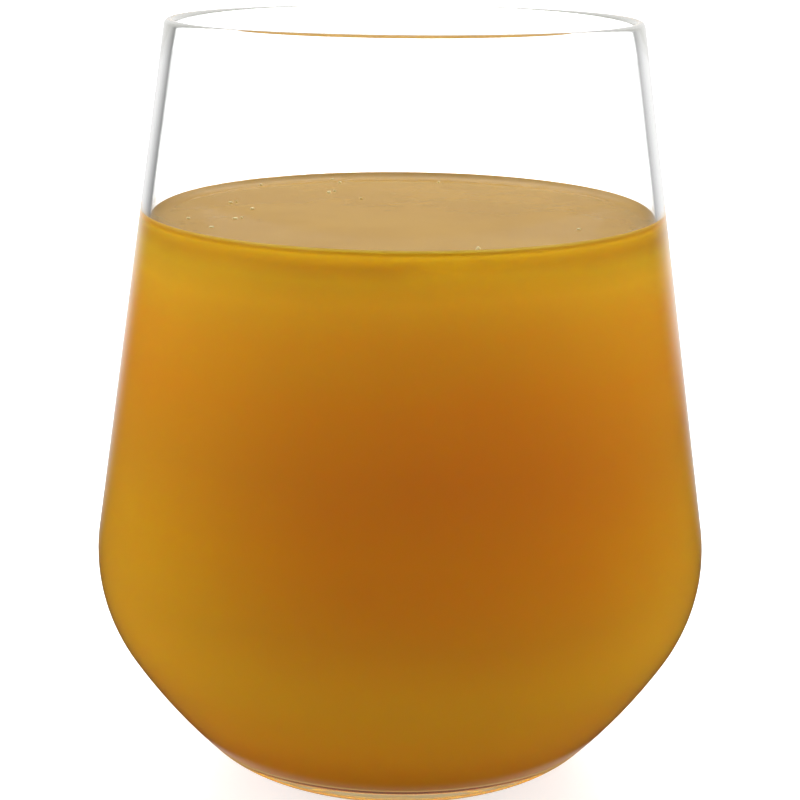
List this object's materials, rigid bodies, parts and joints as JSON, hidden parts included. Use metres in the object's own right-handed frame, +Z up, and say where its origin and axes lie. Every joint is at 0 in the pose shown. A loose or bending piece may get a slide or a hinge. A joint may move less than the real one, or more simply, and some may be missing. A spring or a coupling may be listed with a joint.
{
  "type": "glass of pineapple juice",
  "caption": "Stemless clear glass tumbler with a tapered wall and a round base, filled to about three quarters with cloudy golden fruit juice.",
  "frame": {"origin": "middle of the foot, on the surface that the glass stands on", "axes": "+Z is up, along the glass's own axis; the glass is round, so X and Y are free"},
  "size_m": [0.0878, 0.0878, 0.1058],
  "materials": {
    "clear_glass": "clear, fire-polished soda glass",
    "juice": "cloudy golden juice with a wet, glossy surface"
  },
  "bodies": {
    "root": {"tumbler": "clear_glass", "juice": "juice"}
  },
  "joints": []
}
